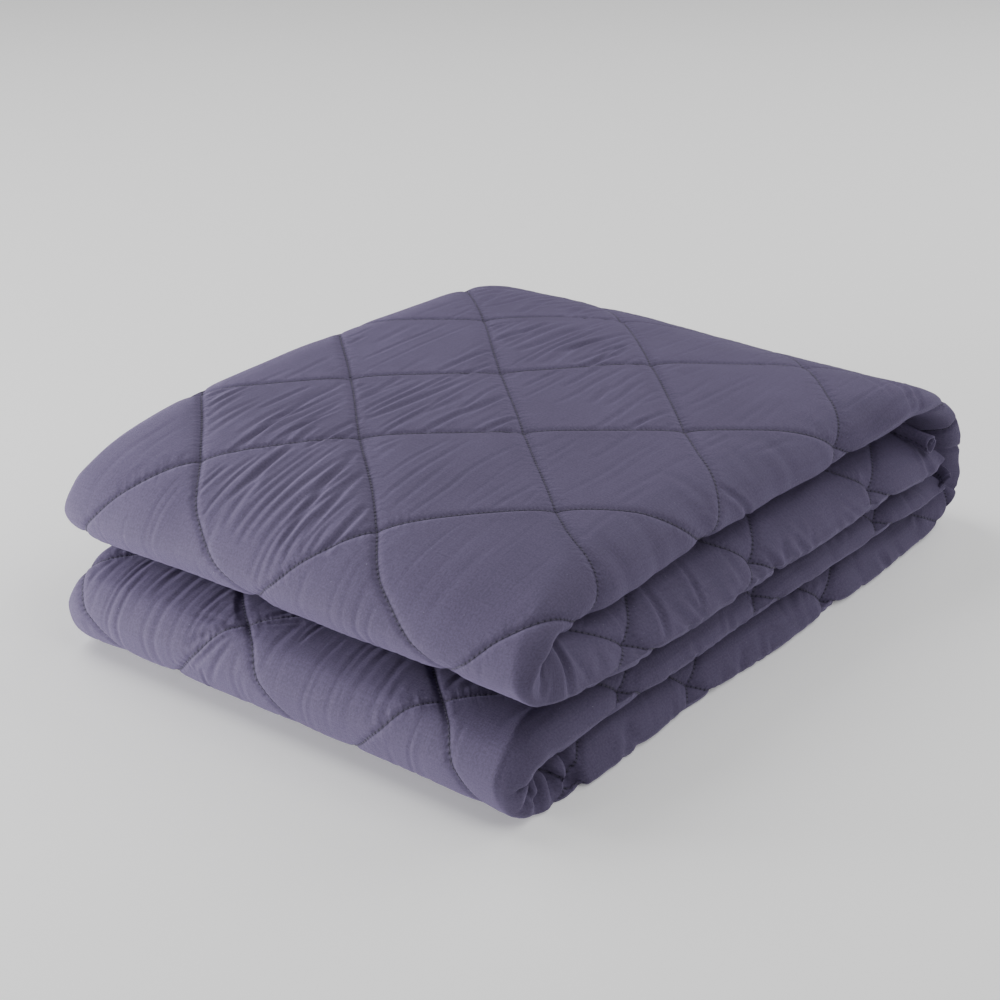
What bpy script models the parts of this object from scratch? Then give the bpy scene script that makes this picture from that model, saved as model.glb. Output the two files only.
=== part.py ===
"""Diamond-quilted weighted blanket, folded into a block.

The blanket is folded across its width into a long strip, a few plies thick,
whose closed folds make the right-hand end.  Both ends of the strip are then
turned in, and the strip is shut like a book.  The block that this makes has
four thick layers, two round folds at the front and one spine at the back.

The strip is one solid.  It is swept along the way that it is folded, and each
section of it is a ring across the block.  The quilting is square, turned by
45 degrees, so its lines cross at whole cells across (u) and along (v) where
u + v is even.  The ring's points and the sections lie every quarter of a cell,
so each stitched line runs through the points and is pressed in along them.
"""

import math

import bpy
import numpy as np

# Driving dimensions, in metres
SQUARE = 0.1016
CELL = SQUARE / math.sqrt(2.0)
STITCH_DEPTH = 0.0042
KNOT_DEPTH = 0.0030
FLOOR_FLAT = 0.0012

# Sizes in cells, half the diagonal of a quilting square
POINTS_PER_CELL = 4
RING_COARSE = (3.25, 7.25)
RING_FINE = (2.125, 8.625)
INNER_POINTS = 7
GROOVE_WIDTH = 0.13
KNOT_WIDTH = 0.22
STITCH_FADE = 0.35
MIDDLE = 5.0
RIGHT_SKEW = 0.038
END_ROUND = 0.45
END_LEAST = 0.04
PLY_SLOT = 0.11
PLY_SLOT_WIDTH = 0.28

# The folded strip, a row for each section, in cells.  v is the quilting's place
# along the cloth, outer the face whose stitching shows, and inner the face that
# is folded in.  y runs from the front folds to the spine, and z is the height.
SECTION_COLUMNS = ("v", "outer_y", "outer_z", "inner_y", "inner_z")
SECTIONS = (
    # second layer, from its free end by the spine
    (-9.0, 3.78, 0.84, 3.78, 1.26),
    (-8.0, 2.78, 0.88, 2.78, 1.42),
    (-6.0, 0.66, 0.90, 0.66, 1.49),
    (-4.0, -1.25, 0.90, -1.35, 1.46),
    # upper front fold
    (-3.5, -1.95, 0.91, -1.95, 1.44),
    (-3.0, -2.43, 1.00, -2.13, 1.43),
    (-2.66, -2.64, 1.28, -2.17, 1.445),
    (-2.36, -2.46, 1.56, -2.15, 1.46),
    (-2.0, -2.02, 1.77, -1.98, 1.475),
    (-1.6, -1.58, 1.86, -1.60, 1.49),
    # top layer
    (-1.0, -1.00, 1.92, -1.00, 1.51),
    (0.0, 0.00, 1.94, 0.00, 1.53),
    (1.0, 1.00, 1.94, 1.00, 1.53),
    (2.0, 2.00, 1.93, 2.00, 1.53),
    (3.0, 2.95, 1.83, 2.90, 1.49),
    # spine
    (3.6, 3.50, 1.68, 3.40, 1.37),
    (4.2, 4.02, 1.38, 3.80, 1.16),
    (4.8, 4.30, 0.90, 4.05, 0.86),
    (5.4, 4.42, 0.46, 4.12, 0.60),
    (6.0, 4.14, 0.10, 4.02, 0.48),
    (6.6, 3.50, 0.00, 3.50, 0.44),
    # bottom layer
    (8.0, 2.10, 0.00, 2.10, 0.45),
    (10.0, -0.05, 0.00, -0.05, 0.45),
    (11.5, -1.70, 0.00, -1.70, 0.44),
    # lower front fold
    (12.0, -2.24, 0.01, -2.20, 0.43),
    (12.4, -2.68, 0.20, -2.37, 0.435),
    (12.68, -2.78, 0.46, -2.39, 0.445),
    (12.94, -2.60, 0.74, -2.37, 0.455),
    (13.4, -2.20, 0.85, -2.12, 0.465),
    # third layer, to its free end by the spine
    (14.0, -1.32, 0.865, -1.35, 0.475),
    (16.0, 0.78, 0.86, 0.78, 0.49),
    (18.0, 3.00, 0.81, 3.00, 0.475),
    (19.0, 3.98, 0.75, 3.98, 0.465),
)

# Where the sections end and how they are rounded there, in cells.  outer and
# inner are the lengths of an end's two curves, and tip is where they meet, from
# 0 at the outer face to 1 at the inner one.
END_COLUMNS = (
    "v",
    "right", "right_outer", "right_inner", "right_tip",
    "left", "left_outer", "left_inner", "left_tip",
)
ENDS = (
    # second layer
    (-9.0, 7.98, 0.14, 0.36, 0.26, 2.62, 0.30, 0.35, 0.50),
    (-4.0, 8.02, 0.14, 0.36, 0.26, 2.62, 0.30, 0.35, 0.50),
    # top layer
    (-1.5, 7.97, 0.50, 0.14, 0.80, 2.62, 0.75, 0.25, 0.70),
    (2.6, 7.97, 0.45, 0.14, 0.80, 2.64, 0.75, 0.25, 0.70),
    # spine
    (3.9, 8.08, 0.24, 0.16, 0.55, 2.66, 0.50, 0.25, 0.60),
    (5.2, 7.90, 0.14, 0.30, 0.26, 2.70, 0.30, 0.30, 0.50),
    (6.4, 7.98, 0.12, 0.30, 0.24, 2.72, 0.30, 0.30, 0.50),
    # bottom layer
    (8.0, 8.06, 0.12, 0.30, 0.24, 2.78, 0.30, 0.30, 0.50),
    (11.0, 8.13, 0.12, 0.30, 0.24, 2.78, 0.30, 0.30, 0.50),
    # third layer
    (14.5, 8.02, 0.26, 0.12, 0.68, 2.80, 0.30, 0.30, 0.50),
    (19.0, 8.00, 0.26, 0.12, 0.68, 2.74, 0.30, 0.30, 0.50),
)

# The block is lower towards its two ends, in cells
CROWN_TILT = -0.022
CROWN_FALL = -0.0156
CROWN_MIDDLE = 5.5
CROWN_HEIGHT = 1.85

# Dense points of a section's outline, before the ring's points are read from it
TURN_POINTS = 24
FACE_POINTS = 60

CLOTH_COLOUR = (0.108, 0.100, 0.158, 1.0)
CLOTH_ROUGHNESS = 0.82


def clear_scene():
    for obj in list(bpy.data.objects):
        bpy.data.objects.remove(obj, do_unlink=True)


def monotone_curve(knots, values, at):
    """A smooth curve through the values that never overshoots them."""
    steps = np.diff(knots)
    slopes = np.diff(values) / steps
    tangents = np.zeros(len(knots))
    tangents[0], tangents[-1] = slopes[0], slopes[-1]
    before, after = slopes[:-1], slopes[1:]
    weight_a = 2 * steps[1:] + steps[:-1]
    weight_b = steps[1:] + 2 * steps[:-1]
    with np.errstate(divide="ignore", invalid="ignore"):
        mean = (weight_a + weight_b) / (weight_a / before + weight_b / after)
    tangents[1:-1] = np.where(before * after > 0, mean, 0.0)
    span = np.clip(np.searchsorted(knots, at, side="right") - 1, 0, len(knots) - 2)
    width = steps[span]
    t = (at - knots[span]) / width
    start = values[span] * (1 + 2 * t) * (1 - t) ** 2 + tangents[span] * width * t * (1 - t) ** 2
    end = values[span + 1] * (3 - 2 * t) * t**2 - tangents[span + 1] * width * (1 - t) * t**2
    return start + end


def table_at(columns, rows, v):
    """Each named column of a table as a smooth curve along the cloth."""
    table = np.array(rows)
    return {
        name: monotone_curve(table[:, 0], table[:, i], v)
        for i, name in enumerate(columns)
    }


def section_outline(end, right, thickness):
    """A section's outline: x across, depth from 0 at its outer face to 1, and u along it."""
    left = end["left"]
    turn = np.linspace(0.0, math.pi / 2, TURN_POINTS)
    out, back = np.sin(turn), 1 - np.cos(turn)
    slot = PLY_SLOT * np.exp(-((back / PLY_SLOT_WIDTH) ** 2))
    outer_x = np.linspace(left + end["left_outer"], right - end["right_outer"], 2 * FACE_POINTS)
    inner_x = np.linspace(right - end["right_inner"], left + end["left_inner"], 2 * FACE_POINTS)
    x = np.concatenate([
        outer_x[FACE_POINTS:],
        right - end["right_outer"] * (1 - out),
        right - end["right_inner"] * back,
        inner_x,
        left + end["left_inner"] * (1 - out) + slot[::-1],
        left + end["left_outer"] * back + slot,
        outer_x[:FACE_POINTS],
    ])
    depth = np.concatenate([
        np.zeros(FACE_POINTS),
        end["right_tip"] * back,
        end["right_tip"] + (1 - end["right_tip"]) * out,
        np.ones(2 * FACE_POINTS),
        1 - (1 - end["left_tip"]) * back,
        end["left_tip"] * (1 - out),
        np.zeros(FACE_POINTS),
    ])
    steps = np.hypot(np.diff(x), np.diff(depth) * thickness)
    u = outer_x[FACE_POINTS] + np.concatenate([[0.0], np.cumsum(steps)])
    return x, depth, u


def stitched_places():
    """The u of the ring's points, twice as close round the two ends."""
    first, last = RING_COARSE
    step = 1.0 / POINTS_PER_CELL
    return np.concatenate([
        np.arange(RING_FINE[0], first, step / 2),
        np.arange(first, last, step),
        np.arange(last, RING_FINE[1] + step / 4, step / 2),
    ])


def from_lines(u, v):
    """Distances in cells from the nearest rising and falling stitched lines."""
    rising = np.abs((u - v + 1.0) % 2.0 - 1.0) / math.sqrt(2.0)
    falling = np.abs((u + v + 1.0) % 2.0 - 1.0) / math.sqrt(2.0)
    return rising, falling


def stitching(u, v):
    """How far the cloth is pressed in, in metres, at the stitched lines and where they cross."""
    rising, falling = from_lines(u, v)
    line = np.exp(-np.minimum(rising, falling) / GROOVE_WIDTH)
    knot = np.exp(-(rising**2 + falling**2) / KNOT_WIDTH**2)
    return STITCH_DEPTH * line + KNOT_DEPTH * knot


def end_opening(room):
    """How open a section is, 0 to 1, this far from a free end of the strip."""
    return math.sqrt(1 - max(0.0, 1 - (room + END_LEAST) / END_ROUND) ** 2)


def strip_points():
    """The rings' points in cells, as rings by points by xyz, and how far each is pressed in."""
    first, last = SECTIONS[0][0], SECTIONS[-1][0]
    v = np.linspace(first, last, round((last - first) * POINTS_PER_CELL) + 1)
    section = table_at(SECTION_COLUMNS, SECTIONS, v)
    ends = table_at(END_COLUMNS, ENDS, v)
    stitched = stitched_places()
    rings, presses = [], []
    for i in range(len(v)):
        outer = np.array([section["outer_y"][i], section["outer_z"][i]])
        inner = np.array([section["inner_y"][i], section["inner_z"][i]])
        middle = (outer + inner) / 2
        opening = end_opening(min(v[i] - first, last - v[i]))
        outer, inner = middle + (outer - middle) * opening, middle + (inner - middle) * opening
        end = {name: float(column[i]) for name, column in ends.items()}
        right = end["right"] + RIGHT_SKEW * middle[0]
        x, depth, u = section_outline(end, right, float(np.hypot(*(inner - outer))))
        total = u[-1] - u[0]
        inside = np.linspace(stitched[-1], stitched[0] + total, INNER_POINTS + 2)[1:-1]
        places = np.concatenate([stitched, inside])
        wrapped = (places - u[0]) % total + u[0]
        ring_x = np.interp(wrapped, u, x)
        ring_depth = np.interp(wrapped, u, depth)
        rings.append(np.column_stack([ring_x, outer + np.outer(ring_depth, inner - outer)]))
        # The stitching fades out round the ends, before the face that is folded in
        fade = np.clip((1 - ring_depth) / STITCH_FADE, 0.0, 1.0)
        presses.append(stitching(places, v[i]) * fade)
    return np.array(rings), np.array(presses)


def pressed_in(rings, press):
    """The points in metres, each pressed into the cloth, with the crown and a flat underside."""
    across = np.roll(rings, -1, axis=1) - np.roll(rings, 1, axis=1)
    along = np.gradient(rings, axis=0)
    normal = np.cross(across, along)
    normal /= np.linalg.norm(normal, axis=2, keepdims=True)
    points = rings * CELL - normal * press[..., None]
    x = points[..., 0] / CELL - CROWN_MIDDLE
    points[..., 2] *= 1 + (CROWN_TILT * x + CROWN_FALL * x**2) / CROWN_HEIGHT
    points[..., 2] = np.maximum(points[..., 2] - FLOOR_FLAT, 0.0)
    return points


def blanket_faces(rings, around):
    """Two triangles for each quad, split along the stitched line that crosses it, and two caps."""
    places = stitched_places()
    middles = np.append((places[1:] + places[:-1]) / 2, np.full(INNER_POINTS + 1, MIDDLE))
    faces = []
    for i in range(rings - 1):
        v = SECTIONS[0][0] + (i + 0.5) / POINTS_PER_CELL
        for j in range(around):
            k = (j + 1) % around
            a, b = i * around + j, i * around + k
            c, d = b + around, a + around
            rising, falling = from_lines(middles[j], v)
            faces += [(a, b, c), (a, c, d)] if rising < falling else [(a, b, d), (b, c, d)]
    faces.append(tuple(reversed(range(around))))
    faces.append(tuple(range((rings - 1) * around, rings * around)))
    return faces


def blanket_mesh():
    points = pressed_in(*strip_points())
    low, high = points.min(axis=(0, 1)), points.max(axis=(0, 1))
    points -= [(low[0] + high[0]) / 2, (low[1] + high[1]) / 2, low[2]]
    mesh = bpy.data.meshes.new("quilted_blanket")
    mesh.from_pydata(points.reshape(-1, 3).tolist(), [], blanket_faces(*points.shape[:2]))
    mesh.shade_smooth()
    return mesh


def cloth_material():
    material = bpy.data.materials.new("plum_grey_cotton")
    material.use_nodes = True
    shader = material.node_tree.nodes["Principled BSDF"]
    shader.inputs["Base Color"].default_value = CLOTH_COLOUR
    shader.inputs["Roughness"].default_value = CLOTH_ROUGHNESS
    shader.inputs["Metallic"].default_value = 0.0
    return material


def build():
    clear_scene()
    collection = bpy.data.collections.new("weighted_blanket")
    bpy.context.scene.collection.children.link(collection)
    mesh = blanket_mesh()
    mesh.materials.append(cloth_material())
    collection.objects.link(bpy.data.objects.new("quilted_blanket", mesh))


build()
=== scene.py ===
# %% [markdown]
# # A quilted weighted blanket, folded into a block
# The blanket is one big sheet: two faces of close-woven cotton, with thin batting and fine
# weighting beads between them.  Rows of stitching at 45 degrees divide it into squares that
# stand on their corners.  Here it is folded across its width into a long strip, the strip's
# two ends are turned in, and the strip is shut like a book.

import math

import bpy
import numpy as np
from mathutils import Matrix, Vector


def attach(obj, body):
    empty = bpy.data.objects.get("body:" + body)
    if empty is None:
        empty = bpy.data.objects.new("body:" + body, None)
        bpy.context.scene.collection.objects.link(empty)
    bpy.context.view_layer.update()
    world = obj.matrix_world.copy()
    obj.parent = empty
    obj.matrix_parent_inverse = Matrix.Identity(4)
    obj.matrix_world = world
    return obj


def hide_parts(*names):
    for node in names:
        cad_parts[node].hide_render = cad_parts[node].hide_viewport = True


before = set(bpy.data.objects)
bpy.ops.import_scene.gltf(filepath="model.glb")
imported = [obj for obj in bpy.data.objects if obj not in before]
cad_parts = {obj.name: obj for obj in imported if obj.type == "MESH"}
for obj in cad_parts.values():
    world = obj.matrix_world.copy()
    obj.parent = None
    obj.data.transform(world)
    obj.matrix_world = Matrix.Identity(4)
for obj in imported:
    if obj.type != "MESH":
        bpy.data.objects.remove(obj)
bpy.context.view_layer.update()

# %% [markdown]
# ## Sizes
# Everything follows from the quilting square.  Half of its diagonal is used as the unit of
# length, the cell: stitched lines then cross at whole numbers of cells across the strip (u)
# and along it (v), wherever u + v is even.  CENTRE is the place in cells of the frame's origin.

# %% Driving sizes, in metres and in cells
SQUARE = 0.1016
CELL = SQUARE / math.sqrt(2.0)
CENTRE = (5.467, 0.825)
print("one cell is", round(CELL * 1000, 2), "mm; a square is", round(SQUARE * 1000, 1), "mm")

# %% [markdown]
# ## How it is folded
# Each row below is a section through one thick layer, by its place v along the strip.  Outer
# is the face whose quilting shows and inner the face that is folded in; y runs from the
# front folds to the spine and z is the height, all in cells.

# %% The folded strip
SECTION_COLUMNS = ("v", "outer_y", "outer_z", "inner_y", "inner_z")
SECTIONS = (
    # second layer, from its free end by the spine
    (-9.0, 3.78, 0.84, 3.78, 1.26),
    (-8.0, 2.78, 0.88, 2.78, 1.42),
    (-6.0, 0.66, 0.9, 0.66, 1.49),
    (-4.0, -1.25, 0.9, -1.35, 1.46),
    # upper front fold
    (-3.5, -1.95, 0.91, -1.95, 1.44),
    (-3.0, -2.43, 1.0, -2.13, 1.43),
    (-2.66, -2.64, 1.28, -2.17, 1.445),
    (-2.36, -2.46, 1.56, -2.15, 1.46),
    (-2.0, -2.02, 1.77, -1.98, 1.475),
    (-1.6, -1.58, 1.86, -1.6, 1.49),
    # top layer
    (-1.0, -1.0, 1.92, -1.0, 1.51),
    (0.0, 0.0, 1.94, 0.0, 1.53),
    (1.0, 1.0, 1.94, 1.0, 1.53),
    (2.0, 2.0, 1.93, 2.0, 1.53),
    (3.0, 2.95, 1.83, 2.9, 1.49),
    # spine
    (3.6, 3.5, 1.68, 3.4, 1.37),
    (4.2, 4.02, 1.38, 3.8, 1.16),
    (4.8, 4.3, 0.9, 4.05, 0.86),
    (5.4, 4.42, 0.46, 4.12, 0.6),
    (6.0, 4.14, 0.1, 4.02, 0.48),
    (6.6, 3.5, 0.0, 3.5, 0.44),
    # bottom layer
    (8.0, 2.1, 0.0, 2.1, 0.45),
    (10.0, -0.05, 0.0, -0.05, 0.45),
    (11.5, -1.7, 0.0, -1.7, 0.44),
    # lower front fold
    (12.0, -2.29, 0.01, -2.22, 0.43),
    (12.4, -2.72, 0.2, -2.38, 0.435),
    (12.68, -2.8, 0.46, -2.39, 0.445),
    (12.94, -2.6, 0.74, -2.37, 0.455),
    (13.4, -2.2, 0.85, -2.12, 0.465),
    # third layer, to its free end by the spine
    (14.0, -1.32, 0.865, -1.35, 0.475),
    (16.0, 0.78, 0.86, 0.78, 0.49),
    (18.0, 3.0, 0.81, 3.0, 0.475),
    (19.0, 3.98, 0.75, 3.98, 0.465),
)
FIRST, LAST = SECTIONS[0][0], SECTIONS[-1][0]

# %% [markdown]
# The two ends of a section are rounded, because the plies turn back there.  Each end has an
# outer and an inner curve, and tip says how far through the thickness they meet.  Flat, 0 to 1,
# straightens the curves, as in the side of a tightly pressed layer.

# %% The rounded ends of the sections
END_COLUMNS = (
    "v",
    "right", "right_outer", "right_inner", "right_tip", "right_flat",
    "left", "left_outer", "left_inner", "left_tip",
)
ENDS = (
    # second layer
    (-9.0, 8.06, 0.08, 0.42, 0.2, 0.6, 2.62, 0.3, 0.35, 0.5),
    (-4.0, 8.1, 0.08, 0.42, 0.2, 0.6, 2.66, 0.3, 0.35, 0.5),
    # upper fold, with a sharp rim
    (-3.4, 8.1, 0.06, 0.3, 0.14, 0.6, 2.68, 0.38, 0.32, 0.54),
    (-2.9, 8.05, 0.04, 0.22, 0.08, 0.6, 2.73, 0.45, 0.32, 0.46),
    (-2.3, 8.0, 0.2, 0.16, 0.48, 0.3, 2.75, 0.56, 0.3, 0.42),
    # top layer
    (-1.6, 7.94, 0.38, 0.14, 0.72, 0.0, 2.7, 0.58, 0.25, 0.55),
    (0.0, 7.9, 0.48, 0.14, 0.8, 0.0, 2.67, 0.58, 0.25, 0.64),
    (2.2, 7.92, 0.45, 0.14, 0.8, 0.0, 2.8, 0.6, 0.25, 0.66),
    # spine
    (3.2, 8.04, 0.22, 0.14, 0.5, 0.3, 2.74, 0.6, 0.25, 0.65),
    (3.9, 8.07, 0.08, 0.16, 0.2, 0.6, 2.66, 0.5, 0.25, 0.6),
    (5.2, 7.95, 0.08, 0.2, 0.2, 0.6, 2.7, 0.3, 0.3, 0.5),
    (6.4, 7.97, 0.08, 0.32, 0.2, 0.6, 2.72, 0.3, 0.3, 0.5),
    # bottom layer
    (8.0, 8.02, 0.08, 0.34, 0.2, 0.6, 2.78, 0.3, 0.3, 0.5),
    (11.0, 8.04, 0.08, 0.34, 0.2, 0.6, 2.78, 0.3, 0.3, 0.5),
    # lower fold
    (11.65, 8.07, 0.06, 0.28, 0.14, 0.6, 2.82, 0.33, 0.3, 0.5),
    (12.1, 8.02, 0.04, 0.2, 0.08, 0.6, 2.87, 0.36, 0.3, 0.5),
    (12.75, 8.05, 0.18, 0.14, 0.44, 0.5, 2.9, 0.4, 0.3, 0.5),
    # third layer
    (14.5, 8.02, 0.34, 0.08, 0.76, 0.5, 2.86, 0.3, 0.3, 0.5),
    (19.0, 8.0, 0.34, 0.08, 0.76, 0.5, 2.74, 0.3, 0.3, 0.5),
)

# %% [markdown]
# ## From the table to a smooth surface
# The rows are joined by a monotone cubic, which passes through every value and never swings
# past it, so a flat layer stays flat right up to its fold.


# %% Smooth curves through the table
def monotone_curve(knots, values, at):
    """A smooth curve through the values that never overshoots them."""
    steps = np.diff(knots)
    slopes = np.diff(values) / steps
    tangents = np.zeros(len(knots))
    tangents[0], tangents[-1] = slopes[0], slopes[-1]
    before, after = slopes[:-1], slopes[1:]
    weight_a = 2 * steps[1:] + steps[:-1]
    weight_b = steps[1:] + 2 * steps[:-1]
    with np.errstate(divide="ignore", invalid="ignore"):
        mean = (weight_a + weight_b) / (weight_a / before + weight_b / after)
    tangents[1:-1] = np.where(before * after > 0, mean, 0.0)
    span = np.clip(np.searchsorted(knots, at, side="right") - 1, 0, len(knots) - 2)
    width = steps[span]
    t = (at - knots[span]) / width
    start = values[span] * (1 + 2 * t) * (1 - t) ** 2 + tangents[span] * width * t * (1 - t) ** 2
    end = values[span + 1] * (3 - 2 * t) * t**2 - tangents[span + 1] * width * (1 - t) * t**2
    return start + end


def table_at(columns, rows, v):
    """Each named column of a table as a smooth curve along the cloth."""
    v_knots, *values = np.array(rows).T
    return {name: monotone_curve(v_knots, line, v) for name, line in zip(columns[1:], values)}


def bump(x, centre, width):
    """A smooth hump of height 1."""
    return np.exp(-(((x - centre) / width) ** 2))


def ramp(distance, reach):
    """0 up to no distance, then evenly up to 1 at the reach."""
    return np.clip(distance / reach, 0.0, 1.0)


def unit(vectors):
    """The same directions with length 1."""
    return vectors / np.linalg.norm(vectors, axis=-1, keepdims=True)


# %% [markdown]
# A section's outline is two flat faces joined by two curved ends.  Its length is measured
# from the middle, so that a place u on it is a place on the flat cloth.

# %% The outline of one section
TURN_POINTS, FACE_POINTS = 24, 60
PLY_SLOT, PLY_SLOT_WIDTH = 0.11, 0.28


def section_outline(end, right, thickness):
    """A section's outline: x across, depth from 0 at its outer face to 1, and u along it."""
    left = end["left"]
    turn = np.linspace(0.0, math.pi / 2, TURN_POINTS)
    out, back = np.sin(turn), 1 - np.cos(turn)
    straight = np.linspace(0.0, 1.0, TURN_POINTS)
    flat = end["right_flat"]
    right_out, right_back = flat * straight + (1 - flat) * out, flat * straight + (1 - flat) * back
    slot = PLY_SLOT * bump(back, 0.0, PLY_SLOT_WIDTH)
    outer_x = np.linspace(left + end["left_outer"], right - end["right_outer"], 2 * FACE_POINTS)
    inner_x = np.linspace(right - end["right_inner"], left + end["left_inner"], 2 * FACE_POINTS)
    x = np.concatenate([
        outer_x[FACE_POINTS:],
        right - end["right_outer"] * (1 - right_out),
        right - end["right_inner"] * right_back,
        inner_x,
        left + end["left_inner"] * (1 - out) + slot[::-1],
        left + end["left_outer"] * back + slot,
        outer_x[: FACE_POINTS + 1],
    ])
    depth = np.concatenate([
        np.zeros(FACE_POINTS),
        end["right_tip"] * right_back,
        end["right_tip"] + (1 - end["right_tip"]) * right_out,
        np.ones(2 * FACE_POINTS),
        1 - (1 - end["left_tip"]) * back,
        end["left_tip"] * (1 - out),
        np.zeros(FACE_POINTS + 1),
    ])
    steps = np.hypot(np.diff(x), np.diff(depth) * thickness)
    u = outer_x[FACE_POINTS] + np.concatenate([[0.0], np.cumsum(steps)])
    return x, depth, u


# %% [markdown]
# Where the strip is folded, the outer ply reaches further than the plies inside it.  At the
# right-hand end this leaves hollows behind the rim, with crumpled plies in them.  At the left
# the four plies part, with grooves between them.

# %% Hollows at the ends, as v, its width, depth, its width, and the amount
HOLLOWS = (
    # second layer, under the edge of the top layer
    (-6.2, 2.6, 1.0, 0.32, 0.24),
    # upper fold
    (-2.15, 0.12, 0.95, 0.36, 0.2), (-2.5, 0.04, 0.8, 0.3, 0.08), (-2.85, 0.04, 0.6, 0.24, 0.05),
    (-3.3, 0.05, 0.8, 0.3, 0.06),
    # lower fold
    (11.71, 0.045, 0.85, 0.45, 0.16), (11.82, 0.05, 0.6, 0.4, -0.05),
    (11.93, 0.04, 0.6, 0.36, 0.11), (12.05, 0.05, 0.5, 0.4, -0.04), (12.15, 0.03, 0.5, 0.34, 0.09),
    (12.25, 0.04, 0.5, 0.4, -0.04), (12.36, 0.04, 0.55, 0.3, 0.11), (12.62, 0.05, 0.55, 0.26, 0.12),
    # spine
    (4.05, 0.6, 0.95, 0.25, 0.36), (4.74, 0.03, 0.4, 0.5, 0.03), (5.56, 0.03, 0.4, 0.5, 0.03),
)
HOLLOW_START, HOLLOW_BLEND = 7.0, 0.7
RIM_WOBBLE = 0.005
RIM_WAVE, RIM_DRIFT, RIM_RIPPLE, RIPPLE_SHARE = 9.0, 2.3, 17.0, 0.6
PLY_START, PLY_BLEND = 3.3, 0.4
PLY_GROOVE, PLY_GROOVE_WIDTH = 0.055, 0.06
PLY_GROOVES_AT = (0.25, 0.75)


def hollowed(x, depth, v):
    """x across, with the inner plies drawn back at both ends."""
    right = ramp(x - HOLLOW_START, HOLLOW_BLEND)
    for at_v, v_width, at_depth, depth_width, amount in HOLLOWS:
        x = x - right * amount * bump(v, at_v, v_width) * bump(depth, at_depth, depth_width)
    wave = math.sin(RIM_WAVE * v + 2 * math.sin(RIM_DRIFT * v))
    x = x + right * RIM_WOBBLE * (wave + RIPPLE_SHARE * math.sin(RIM_RIPPLE * v))
    grooves = sum(bump(depth, at_depth, PLY_GROOVE_WIDTH) for at_depth in PLY_GROOVES_AT)
    return x + ramp(PLY_START - x, PLY_BLEND) * PLY_GROOVE * grooves


# %% [markdown]
# The strip is the stack of those outlines.  Its outer skin gets a fine grid of points, closest
# across the middle, where narrow creases run along the strip.  The face that is folded in is
# never seen and needs only a few.

# %% The strip before any quilting
ROW_SPACING = 1 / 30
SKIN_ENDS = (2.0, 3.2, 7.0, 8.9)
SKIN_SPACING = (1 / 40, 1 / 84, 1 / 56)
INNER_POINTS = 11
RIGHT_SKEW = 0.038
END_ROUND, END_LEAST = 0.45, 0.04


def end_opening(room):
    """How open a section is, 0 to 1, this far from a free end of the strip."""
    return math.sqrt(1 - max(0.0, 1 - (room + END_LEAST) / END_ROUND) ** 2)


def smooth_strip(v, skin):
    """Points in cells, each point's depth through its layer, and its place u on the cloth."""
    section = table_at(SECTION_COLUMNS, SECTIONS, v)
    ends = table_at(END_COLUMNS, ENDS, v)
    points, depths, places = [], [], []
    for i in range(len(v)):
        outer = np.array([section["outer_y"][i], section["outer_z"][i]])
        inner = np.array([section["inner_y"][i], section["inner_z"][i]])
        middle = (outer + inner) / 2
        opening = end_opening(min(v[i] - FIRST, LAST - v[i]))
        outer, inner = middle + (outer - middle) * opening, middle + (inner - middle) * opening
        end = {name: float(column[i]) for name, column in ends.items()}
        right = end["right"] + RIGHT_SKEW * middle[0]
        x, depth, u = section_outline(end, right, float(np.hypot(*(inner - outer))))
        total = u[-1] - u[0]
        hidden = np.linspace(skin[-1], skin[0] + total, INNER_POINTS + 2)[1:-1]
        place = np.concatenate([skin, hidden])
        wrapped = (place - u[0]) % total + u[0]
        ring_depth = np.interp(wrapped, u, depth)
        ring_x = hollowed(np.interp(wrapped, u, x), ring_depth, v[i])
        points.append(np.column_stack([ring_x, outer + np.outer(ring_depth, inner - outer)]))
        depths.append(ring_depth)
        places.append(place)
    return np.array(points), np.array(depths), np.array(places)


def even_steps(start, end, spacing):
    """Places from start up to end, without end, about the spacing apart."""
    return np.linspace(start, end, round((end - start) / spacing), endpoint=False)


v_rows = np.linspace(FIRST, LAST, round((LAST - FIRST) / ROW_SPACING) + 1)
stretches = zip(SKIN_ENDS[:-1], SKIN_ENDS[1:], SKIN_SPACING)
skin_columns = np.concatenate([even_steps(*stretch) for stretch in stretches])
skin_columns = np.append(skin_columns, SKIN_ENDS[-1])
strip, depth, u_grid = smooth_strip(v_rows, skin_columns)
v_grid = np.broadcast_to(v_rows[:, None], u_grid.shape)
print("strip grid", strip.shape)

# %% [markdown]
# ## Soft, repeatable unevenness
# Cloth is never quite even.  Smooth noise comes from a fixed table of random numbers, so it
# is the same on every run.

# %% Smooth noise
NOISE_TABLE = 64


def eased(t):
    """From 0 to 1, level at both ends."""
    return t * t * t * (t * (t * 6 - 15) + 10)


def soft_noise(x, y, seed):
    """Smooth noise from -1 to 1 with bumps one unit apart."""
    table = np.random.default_rng(seed).uniform(-1.0, 1.0, (NOISE_TABLE, NOISE_TABLE))
    column, row = np.floor(x).astype(int), np.floor(y).astype(int)
    s, t = eased(x - column), eased(y - row)
    a, b = column % NOISE_TABLE, row % NOISE_TABLE
    c, d = (column + 1) % NOISE_TABLE, (row + 1) % NOISE_TABLE
    low = table[b, a] * (1 - s) + table[b, c] * s
    high = table[d, a] * (1 - s) + table[d, c] * s
    return low * (1 - t) + high * t


# %% [markdown]
# ## Where the stitched lines run
# Sewing pulls the cloth about, so the squares aren't perfectly regular.  The crossings listed
# here are nudged from their even places, and their neighbours follow smoothly.

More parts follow.
